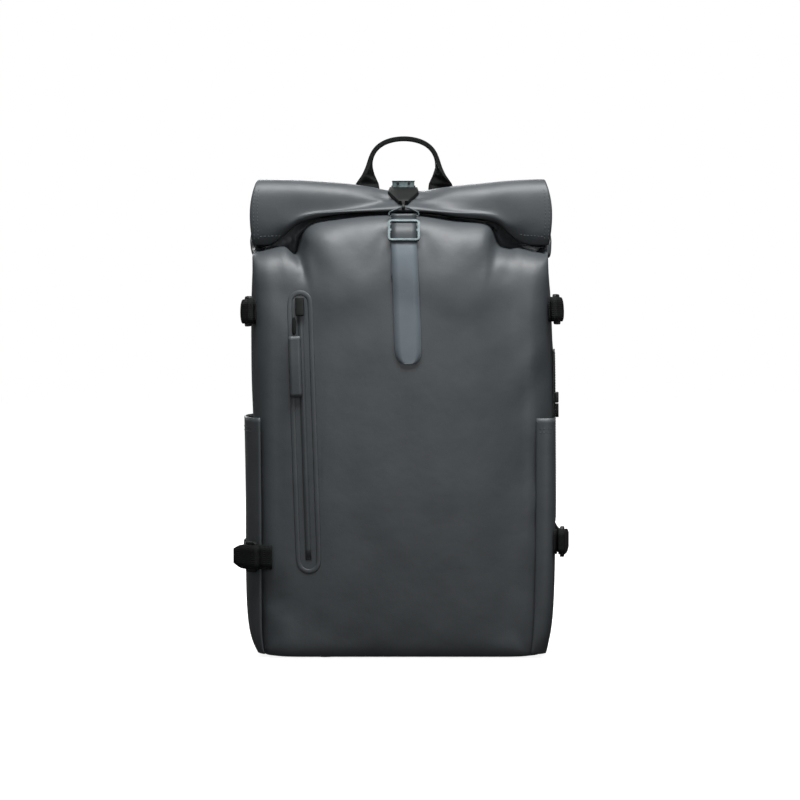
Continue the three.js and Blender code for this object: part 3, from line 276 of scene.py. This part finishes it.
def mottle(tree, place, size, low, high):
    spots = add_node(
        tree, "ShaderNodeTexNoise", {"Scale": 1 / size, "Detail": 3}, {"Vector": place}
    )
    ramp = add_node(tree, "ShaderNodeValToRGB", links={"Fac": spots.outputs["Fac"]})
    ramp.color_ramp.elements[0].position = 0.3
    ramp.color_ramp.elements[1].position = 0.7
    ramp.color_ramp.elements[0].color = linear(low)
    ramp.color_ramp.elements[1].color = linear(high)
    return ramp.outputs["Color"]


def raise_by(tree, shader, height, depth, under=None):
    links = {"Height": height}
    if under is not None:
        links["Normal"] = under
    bump = add_node(
        tree, "ShaderNodeBump", {"Distance": depth, "Strength": 1.0}, links
    )
    tree.links.new(bump.outputs["Normal"], shader.inputs["Normal"])
    return bump.outputs["Normal"]


# Polyester with a smooth polyurethane coating: semi-matt, a soft sheen along the folds, a very
# fine grain and slow changes of tone. The grain is 0.9 mm, coarser than the real one, to show.
def coated_cloth(name, low, high, roughness):
    material, tree, shader, place = new_material(name, IOR=1.45)
    tree.links.new(mottle(tree, place, 0.045, low, high), shader.inputs["Base Color"])
    rub = add_node(tree, "ShaderNodeTexNoise", {"Scale": 60, "Detail": 4}, {"Vector": place})
    gloss = add_node(
        tree,
        "ShaderNodeMapRange",
        {"To Min": roughness - 0.05, "To Max": roughness + 0.06},
        {"Value": rub.outputs["Fac"]},
    )
    tree.links.new(gloss.outputs["Result"], shader.inputs["Roughness"])
    grain = add_node(tree, "ShaderNodeTexNoise", {"Scale": 1100, "Detail": 2}, {"Vector": place})
    soft = raise_by(tree, shader, rub.outputs["Fac"], 0.00035)
    raise_by(tree, shader, grain.outputs["Fac"], 0.00005, soft)
    return material


bag_cloth = coated_cloth("coated_polyester_grey", "34383B", "3B3F42", 0.5)
bag.data.materials.append(bag_cloth)
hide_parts("body_shell")
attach(bag, "root")

# Seam stitching on the bag: polyester thread, a lockstitch every 3.4 mm, in two rows down each
# end of the roll and along its hem where that hangs free.
only(bag)
bpy.ops.mesh.primitive_uv_sphere_add(segments=8, ring_count=5, radius=0.5)
stitch = bpy.context.object
stitch.scale = (0.0025, 0.0008, 0.0006)
bpy.ops.object.transform_apply(location=False, rotation=False, scale=True)
stitch_lift = 0.0001
stitch_points = np.array([tuple(v.co) for v in stitch.data.vertices])
stitch_faces = [tuple(face.vertices) for face in stitch.data.polygons]
bpy.data.objects.remove(stitch)


def tree_of(piece):
    points = [vertex.co.copy() for vertex in piece.data.vertices]
    return BVHTree.FromPolygons(points, [tuple(face.vertices) for face in piece.data.polygons])


def stitch_rows(name, cloth, rows, heading, pitch=0.0034):
    surface = tree_of(cloth)
    points, faces = [], []
    for row in rows:
        for start, end in zip(row[:-1], row[1:]):
            start, end = Vector(start), Vector(end)
            count = max(1, int((end - start).length / pitch))
            for i in range(count):
                near = surface.ray_cast(start.lerp(end, (i + 0.15) / count), heading)
                far = surface.ray_cast(start.lerp(end, (i + 0.85) / count), heading)
                if near[0] is None or far[0] is None or (near[0] - far[0]).length > 2 * pitch:
                    continue
                out = near[1] if near[1].dot(heading) < 0 else -near[1]
                forward = (far[0] - near[0]).normalized()
                aside = out.cross(forward).normalized()
                turn = np.array(Matrix((forward, aside, forward.cross(aside))).transposed())
                middle = np.array((near[0] + far[0]) / 2 + out * stitch_lift)
                first = len(points)
                points.extend((stitch_points @ turn.T + middle).tolist())
                faces.extend(tuple(first + corner for corner in face) for face in stitch_faces)
    mesh = bpy.data.meshes.new(name)
    mesh.from_pydata(points, [], faces)
    piece = bpy.data.objects.new(name, mesh)
    bpy.context.scene.collection.objects.link(piece)
    only(piece)
    bpy.ops.object.shade_smooth()
    piece.data.materials.append(sewing_thread)
    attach(piece, "root")


# Polyester sewing thread: matt, a little lighter than the cloth so that a row reads as a line.
sewing_thread, thread_tree, thread_shader, thread_place = new_material(
    "polyester_thread", Roughness=0.7
)
thread_tree.links.new(
    mottle(thread_tree, thread_place, 0.004, "3A3E40", "4A4F51"), thread_shader.inputs["Base Color"]
)

ahead = -0.3
stitch_rows(
    "roll_seams",
    bag,
    [
        [(-0.1515, ahead, 0.482), (-0.153, ahead, 0.46), (-0.152, ahead, 0.43)],
        [(-0.1475, ahead, 0.484), (-0.149, ahead, 0.46), (-0.148, ahead, 0.43)],
        [(0.1515, ahead, 0.482), (0.153, ahead, 0.46), (0.152, ahead, 0.43)],
        [(0.1475, ahead, 0.484), (0.149, ahead, 0.46), (0.148, ahead, 0.43)],
        [(-0.147, ahead, 0.434), (-0.124, ahead, 0.435)],
        [(0.147, ahead, 0.434), (0.122, ahead, 0.436)],
    ],
    Vector((0, 1, 0)),
)

# The closing strap: coated cloth folded and welded to a smooth strip, sewn to the front under its
# own tail, round the wire ring and back down through the slider, with a rounded loose end.
strap_cloth = coated_cloth("coated_strap_grey", "4C545A", "545D63", 0.5)
# Above the slider its tone is lowered, for likeness only: the light here is stronger on that part
# than it is in the photograph.
strap_tree = strap_cloth.node_tree
strap_shader = strap_tree.nodes["Principled BSDF"]
cloth_tone = strap_shader.inputs["Base Color"].links[0].from_socket
strap_place = add_node(strap_tree, "ShaderNodeTexCoord").outputs["Object"]
strap_height = add_node(
    strap_tree,
    "ShaderNodeVectorMath",
    {"operation": "DOT_PRODUCT", 1: (0, 0, 1)},
    {0: strap_place},
)
tone_share = add_node(
    strap_tree,
    "ShaderNodeMapRange",
    {"From Min": 0.425, "From Max": 0.432, "To Min": 1.0, "To Max": 0.28},
    {"Value": strap_height.outputs["Value"]},
)
strap_tone = add_node(
    strap_tree,
    "ShaderNodeVectorMath",
    {"operation": "SCALE"},
    {0: cloth_tone, 3: tone_share.outputs[0]},
)
strap_tree.links.new(strap_tone.outputs["Vector"], strap_shader.inputs["Base Color"])
strap = smoothed(merged_copy("closing_strap", "closure_strap"), 2, keep_edges=50)
press_front(strap, 0.395, 0.425)
strap.data.materials.append(strap_cloth)
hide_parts("closure_strap")
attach(strap, "root")

# The slider and the ring that the strap runs through: aluminium bar and wire, anodised grey, with
# the sharp edges rolled off.


def eased(name, node, width):
    piece = merged_copy(name, node, quads=False)
    finish_with(
        piece,
        "BEVEL",
        width=width,
        segments=3,
        limit_method="ANGLE",
        angle_limit=math.radians(35),
    )
    only(piece)
    bpy.ops.object.shade_smooth_by_angle(angle=math.radians(40))
    return piece


# Anodised aluminium: metallic, satin, with faint marks of the drawn wire.
anodised, metal_tree, metal_shader, metal_place = new_material(
    "anodised_aluminium_grey", Metallic=1.0
)
metal_tree.links.new(
    mottle(metal_tree, metal_place, 0.006, "3F4648", "4A5254"), metal_shader.inputs["Base Color"]
)
drawn = add_node(
    metal_tree, "ShaderNodeTexNoise", {"Scale": 900, "Detail": 3}, {"Vector": metal_place}
)
drawn_gloss = add_node(
    metal_tree,
    "ShaderNodeMapRange",
    {"To Min": 0.46, "To Max": 0.6},
    {"Value": drawn.outputs["Fac"]},
)
metal_tree.links.new(drawn_gloss.outputs["Result"], metal_shader.inputs["Roughness"])
raise_by(metal_tree, metal_shader, drawn.outputs["Fac"], 0.00003)

slider = eased("strap_slider_frame", "strap_slider", 0.0007)
ring = smoothed(merged_copy("hook_ring", "wire_ring"), 2)
for piece, node in ((slider, "strap_slider"), (ring, "wire_ring")):
    piece.data.materials.append(anodised)
    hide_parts(node)
    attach(piece, "root")

# The hook: black acetal, moulded, lying in the pinched roll with its finger through the ring, and
# a small grey block riveted on its back end.
# Moulded acetal: near black, a dull gloss and a fine spark-eroded grain.
acetal, plastic_tree, plastic_shader, plastic_place = new_material(
    "moulded_acetal_black", IOR=1.36, Roughness=0.5
)
plastic_tree.links.new(
    mottle(plastic_tree, plastic_place, 0.01, "070909", "0D0F0F"),
    plastic_shader.inputs["Base Color"],
)
plastic_grain = add_node(
    plastic_tree, "ShaderNodeTexNoise", {"Scale": 1500, "Detail": 2}, {"Vector": plastic_place}
)
raise_by(plastic_tree, plastic_shader, plastic_grain.outputs["Fac"], 0.00004)

hook = eased("roll_hook", "hook_body", 0.0009)
hook.data.materials.append(acetal)
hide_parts("hook_body")
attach(hook, "root")

# Cast zinc with a grey-green satin coat: smooth, its tone a little uneven.
zinc, zinc_tree, zinc_shader, zinc_place = new_material(
    "coated_zinc_grey", Roughness=0.4, Metallic=0.35
)
zinc_tree.links.new(
    mottle(zinc_tree, zinc_place, 0.005, "4C5B5D", "5F6F70"), zinc_shader.inputs["Base Color"]
)
block = eased("hook_rivet_block", "hook_block", 0.0008)
block.data.materials.append(zinc)
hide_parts("hook_block")
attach(block, "root")

low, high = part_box("hook_block")
rivet_height = 0.5 * (low[2] + high[2]) + 0.002
for i, share in enumerate((0.27, 0.73)):
    bpy.ops.mesh.primitive_cylinder_add(
        vertices=24,
        radius=0.0015,
        depth=0.0006,
        location=(low[0] + share * (high[0] - low[0]), low[1] - 0.0001, rivet_height),
        rotation=(math.pi / 2, 0, 0),
    )
    rivet = bpy.context.object
    rivet.name = f"block_rivet_{i + 1}"
    bpy.ops.object.transform_apply(location=True, rotation=True, scale=True)
    finish_with(rivet, "BEVEL", width=0.0002, segments=2, limit_method="ANGLE")
    rivet.data.materials.append(acetal)
    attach(rivet, "root")

# The webbing of the pack: polyester, 25 mm wide, woven with a plain rib. The loop that holds the
# hook and the carry handle are sewn flat to the back; the handle turns on edge above the roll.


# Woven polyester: matt black, ribs every 2 mm along the strap and picks every 1.3 mm across it,
# both drawn coarser than the real ones so that they show; their low parts are painted darker as
# painted shade. aside and forward are the strap's own directions.
def woven(name, aside, forward):
    material, tree, shader, place = new_material(name, Roughness=0.82)
    shader.inputs["Specular IOR Level"].default_value = 0.2

    def lines(direction, size):
        across = add_node(
            tree,
            "ShaderNodeVectorMath",
            {"operation": "DOT_PRODUCT", 1: direction},
            {0: place},
        )
        turned = add_node(
            tree,
            "ShaderNodeMath",
            {"operation": "MULTIPLY", 1: 2 * math.pi / size},
            {0: across.outputs["Value"]},
        )
        return add_node(
            tree, "ShaderNodeMath", {"operation": "SINE"}, {0: turned.outputs[0]}
        ).outputs[0]

    ribs, picks = lines(aside, 0.002), lines(forward, 0.0013)
    weave = add_node(tree, "ShaderNodeMath", {"operation": "MULTIPLY"}, {0: ribs, 1: picks})
    both = add_node(
        tree,
        "ShaderNodeMath",
        {"operation": "MULTIPLY_ADD", 1: 0.6},
        {0: ribs, 2: weave.outputs[0]},
    )
    tone = add_node(
        tree,
        "ShaderNodeMapRange",
        {"From Min": -1.6, "From Max": 1.6},
        {"Value": both.outputs[0]},
    )
    # Painted shade: the colour follows the weave's relief and is darker in its low parts.
    colour = add_node(
        tree,
        "ShaderNodeMix",
        {"data_type": "RGBA", 6: linear("050606"), 7: linear("0F1111")},
        {0: tone.outputs["Result"]},
    )
    tree.links.new(colour.outputs[2], shader.inputs["Base Color"])
    raise_by(tree, shader, tone.outputs["Result"], 0.0004)
    return material


upright_webbing = woven("woven_polyester_upright", (1, 0, 0), (0, 0.5, 1))
level_webbing = woven("woven_polyester_level", (0, 0, 1), (0.7, 1, 0))


def webbing_piece(name, node, material, levels=2):
    piece = smoothed(merged_copy(name, node), levels, keep_edges=50)
    piece.data.materials.append(material)
    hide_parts(node)
    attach(piece, "root")
    return piece


webbing_piece("hook_webbing", "back_loop", upright_webbing)
handle = webbing_piece("carry_handle_webbing", "carry_handle", upright_webbing)
behind = 0.3
seam_low, seam_high = 0.424, 0.446
handle_feet = (-0.039, 0.039)
stitch_rows(
    "handle_seams",
    handle,
    [
        [(x + 0.003 + dx, behind, seam_low), (x + 0.003 + dx, behind, seam_high)]
        for x in handle_feet
        for dx in (-0.011, 0.011)
    ]
    + [
        [(x - 0.008, behind, z), (x + 0.014, behind, z)]
        for x in handle_feet
        for z in (seam_low, seam_high)
    ],
    Vector((0, -1, 0)),
)

# The front pocket: a slit welded into the front panel behind a raised frame, closed by a coil zip
# under a coated cover. The slider's cord carries a tab of the bag's cloth. All of it goes back
# with the pressed front that it is part of, and 1.1 mm more for the weld and the cover.
weld_sunk = 0.0011
weld = smoothed(merged_copy("pocket_frame", "front_pocket_weld"), 1)
tape = smoothed(merged_copy("pocket_zip_cover", "front_zip_tape"), 1, keep_edges=50)
zip_cloth = coated_cloth("coated_zip_cover", "2E3235", "34383B", 0.5)
for piece, node, material in (
    (weld, "front_pocket_weld", bag_cloth),
    (tape, "front_zip_tape", zip_cloth),
):
    for vertex in piece.data.vertices:
        vertex.co.y += weld_sunk
    press_front(piece)
    piece.data.materials.append(material)
    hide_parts(node)
    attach(piece, "root")

zip_slider = eased("pocket_zip_slider", "front_zip_slider", 0.0011)
pull_tab = smoothed(merged_copy("pocket_pull_tab", "front_pull_tab"), 2, keep_edges=50)
pull_cord = smoothed(merged_copy("pocket_pull_cord", "front_pull_cord"), 2)
for piece, node, material, slot in (
    (zip_slider, "front_zip_slider", acetal, "black_plastic"),
    (pull_tab, "front_pull_tab", bag_cloth, "bag_cloth"),
    (pull_cord, "front_pull_cord", upright_webbing, "webbing"),
):
    press_front(piece)
    piece.data.materials.append(material)
    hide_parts(node)
    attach(piece, "root")

# The side pockets: slips of the same coated cloth, bound at the top with a folded hem that has
# two rows of stitching, and caught in the side seams at front and back.
pockets = {}
for side, flat in (("left", (0.13, 0.26)), ("right", (0.034, 0.245))):
    pocket = smoothed(
        merged_copy("side_pocket_cloth_" + side, "side_pocket_" + side), 2, keep_edges=60
    )
    pocket.data.materials.append(bag_cloth)
    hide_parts("side_pocket_" + side)
    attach(pocket, "root")
    pockets[side] = pocket

hem_rows = (0.2335, 0.2375)
stitch_rows(
    "left_pocket_hem",
    pockets["left"],
    [[(-0.3, -0.072, z), (-0.3, 0.02, z)] for z in hem_rows],
    Vector((1, 0, 0)),
)
stitch_rows(
    "right_pocket_hem",
    pockets["right"],
    [[(0.134, ahead, z), (0.158, ahead, z)] for z in hem_rows],
    Vector((0, 1, 0)),
)

# The compression straps: webbing from the back seam round the side to a ladderlock, which a
# patch of the same webbing holds to the front corner with a box of stitching.
for place in ("upper_left", "upper_right", "lower_left", "lower_right"):
    webbing_piece("compression_webbing_" + place, "compression_strap_" + place, level_webbing)
    webbing_piece("lock_patch_" + place, "patch_" + place, level_webbing)
    lock = eased("ladderlock_body_" + place, "ladderlock_" + place, 0.0006)
    lock.data.materials.append(acetal)
    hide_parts("ladderlock_" + place)
    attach(lock, "root")

# The access zip: a coil zip sewn into the side just behind the front corner, its slider near the
# middle with a webbing pull. The coil's turns stand every 2.2 mm, coarser than the real ones.
side_tape = webbing_piece("side_zip_cloth", "side_zip_tape", upright_webbing, 1)
side_slider = eased("side_zip_slide", "side_zip_slider", 0.0008)
side_slider.data.materials.append(acetal)
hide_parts("side_zip_slider")
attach(side_slider, "root")
webbing_piece("side_zip_tab", "side_zip_pull", upright_webbing)

low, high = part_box("side_zip_tape")
coil_middle = 0.5 * (low[1] + high[1])
stitch_rows(
    "side_zip_coil",
    side_tape,
    [
        [(0.3, coil_middle + dy, low[2] + 0.003), (0.3, coil_middle + dy, high[2] - 0.003)]
        for dy in (-0.0012, 0.0012)
    ],
    Vector((-1, 0, 0)),
    pitch=0.0028,
)

# The back panel and the shoulder straps: polyethylene foam 10 mm thick under a knitted spacer
# mesh, with the edges turned in and sewn. The panel is sewn down in channels, so it stands in
# two columns with cross grooves that let air through.


# Knitted spacer mesh: matt, dark, with open cells every 3 mm, whose holes are painted darker as
# painted shade inside them.
mesh_knit, knit_tree, knit_shader, knit_place = new_material("spacer_mesh_knit", Roughness=0.9)
cells = add_node(
    knit_tree,
    "ShaderNodeTexVoronoi",
    {"Scale": 330, "Randomness": 0.25},
    {"Vector": knit_place},
)
# The middles of the cells are painted near black: painted shade inside the open holes.
knit_ramp = add_node(knit_tree, "ShaderNodeValToRGB", links={"Fac": cells.outputs["Distance"]})
knit_ramp.color_ramp.elements[0].position = 0.18
knit_ramp.color_ramp.elements[1].position = 0.5
knit_ramp.color_ramp.elements[0].color = linear("07090A")
knit_ramp.color_ramp.elements[1].color = linear("23272A")
knit_tree.links.new(knit_ramp.outputs["Color"], knit_shader.inputs["Base Color"])
raise_by(knit_tree, knit_shader, cells.outputs["Distance"], 0.0005)

swell_frames = 20


def puffed(name, node, voxel, cap):
    piece = merged_copy(name, node, quads=False)
    finish_with(piece, "REMESH", mode="VOXEL", voxel_size=voxel, use_smooth_shade=True)
    finish_with(piece, "SMOOTH", factor=0.5, iterations=8)
    start = [vertex.co.copy() for vertex in piece.data.vertices]
    only(piece)
    cloth = piece.modifiers.new("foam", "CLOTH")
    cloth.settings.quality = 5
    cloth.settings.mass = 0.3
    cloth.settings.use_pressure = True
    cloth.settings.uniform_pressure_force = 4
    cloth.settings.tension_stiffness = 15
    cloth.settings.compression_stiffness = 15
    cloth.settings.bending_stiffness = 2
    cloth.settings.effector_weights.gravity = 0
    cloth.point_cache.frame_start = 1
    cloth.point_cache.frame_end = swell_frames
    for number in range(1, swell_frames + 1):
        bpy.context.scene.frame_set(number)
    bpy.ops.object.modifier_apply(modifier=cloth.name)
    bpy.context.scene.frame_set(1)
    for vertex, before in zip(piece.data.vertices, start):
        moved = vertex.co - before
        moved.y = max(0, moved.y)
        if moved.length > cap:
            moved *= cap / moved.length
        vertex.co = before + moved
    finish_with(piece, "SUBSURF", levels=1, render_levels=1)
    only(piece)
    bpy.ops.object.shade_smooth()
    return piece


pad = puffed("back_panel_padding", "back_pad", 0.005, 0.003)
low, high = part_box("back_pad")
middle = 0.5 * (low[0] + high[0])
for vertex in pad.data.vertices:
    place = vertex.co
    stand = step(place.y, low[1] + 0.002, low[1] + 0.007)
    groove = 0.006 * math.exp(-(((place.x - middle) / 0.008) ** 2))
    for height in (0.105, 0.19, 0.275):
        bend = 0.012 * abs(place.x - middle) / 0.1
        groove += 0.0035 * math.exp(-(((place.z - height - bend) / 0.005) ** 2))
    edge = min(place.x - low[0], high[0] - place.x, place.z - low[2], high[2] - place.z)
    groove += 0.002 * math.exp(-(((edge - 0.009) / 0.0025) ** 2))
    vertex.co.y -= min(groove, 0.007) * stand
pad.data.materials.append(mesh_knit)
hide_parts("back_pad")
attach(pad, "root")

for side in ("left", "right"):
    yoke = puffed("shoulder_strap_padding_" + side, "shoulder_strap_" + side, 0.004, 0.0025)
    yoke.data.materials.append(mesh_knit)
    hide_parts("shoulder_strap_" + side)
    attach(yoke, "root")

    webbing_piece("strap_webbing_" + side, "shoulder_webbing_" + side, upright_webbing)
    tab = smoothed(merged_copy("anchor_tab_" + side, "strap_anchor_" + side), 2, keep_edges=50)
    tab.data.materials.append(bag_cloth)
    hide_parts("strap_anchor_" + side)
    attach(tab, "root")
    adjuster = eased("strap_adjuster_" + side, "shoulder_adjuster_" + side, 0.0006)
    adjuster.data.materials.append(acetal)
    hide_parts("shoulder_adjuster_" + side)
    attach(adjuster, "root")

# The studio: a plain white floor and soft light, mostly from above and a little in front. The
# floor glows slightly to be white, and neither lights the bag nor shows in it.
scene = bpy.context.scene
scene.view_settings.view_transform = "Standard"
bpy.ops.mesh.primitive_plane_add(size=12, location=(0, 0, -0.0002))
floor = bpy.context.object
floor.name = "studio_floor"
floor_paint = new_material(
    "matt_floor_paint",
    Base_Color=(0.4, 0.4, 0.4, 1),
    Roughness=0.9,
    Emission_Color=(1, 1, 1, 1),
    Emission_Strength=0.9,
)[0]
floor.data.materials.append(floor_paint)
floor.visible_diffuse = False
floor.visible_glossy = False

# The surround is white in a narrow cone behind the bag, and dim to the sides, below and in front.
world = bpy.data.worlds.new("studio_surround")
world.use_nodes = True
scene.world = world
surround_tree = world.node_tree
surround = surround_tree.nodes["Background"]
surround.inputs["Strength"].default_value = 1.0
facing = add_node(surround_tree, "ShaderNodeTexCoord").outputs["Generated"]


def room_tone(direction, tones):
    along = add_node(
        surround_tree,
        "ShaderNodeVectorMath",
        {"operation": "DOT_PRODUCT", 1: direction},
        {0: facing},
    )
    share = add_node(
        surround_tree,
        "ShaderNodeMath",
        {"operation": "MULTIPLY_ADD", 1: 0.5, 2: 0.5},
        {0: along.outputs["Value"]},
    )
    ramp = add_node(surround_tree, "ShaderNodeValToRGB", links={"Fac": share.outputs[0]})
    for i, (at, tone) in enumerate(tones):
        stop = ramp.color_ramp.elements[i] if i < 2 else ramp.color_ramp.elements.new(at)
        stop.position = at
        stop.color = (tone, tone, tone, 1)
    return ramp.outputs["Color"]


room = room_tone((0, 1, 0), [(0, 0.34), (1, 0.2), (0.3, 0.24), (0.45, 0.16)])
below = room_tone((0, 0, 1), [(0.35, 0.35), (0.55, 1)])
wall = room_tone((0, 1, 0), [(0.978, 0), (0.991, 1)])
dimmed = add_node(
    surround_tree, "ShaderNodeMath", {"operation": "MULTIPLY"}, {0: room, 1: below}
)
whole = add_node(
    surround_tree, "ShaderNodeMath", {"operation": "MAXIMUM"}, {0: dimmed.outputs[0], 1: wall}
)
surround_tree.links.new(whole.outputs[0], surround.inputs["Color"])


def soft_light(name, place, aim, width, height, power):
    bpy.ops.object.light_add(type="AREA", location=place)
    light = bpy.context.object
    light.name = name
    light.rotation_euler = (Vector(aim) - Vector(place)).to_track_quat("-Z", "Y").to_euler()
    light.data.shape = "RECTANGLE"
    light.data.size = width
    light.data.size_y = height
    light.data.energy = power


soft_light("top_softbox", (0.1, -0.5, 1.65), (0.02, -0.08, 0.36), 1.1, 0.5, 46)
soft_light("rear_softbox", (-0.5, 1.9, 1.3), (0, 0.05, 0.28), 1.0, 1.0, 34)
soft_light("front_fill", (0.2, -2.6, 0.7), (0, 0, 0.25), 0.7, 0.9, 12)
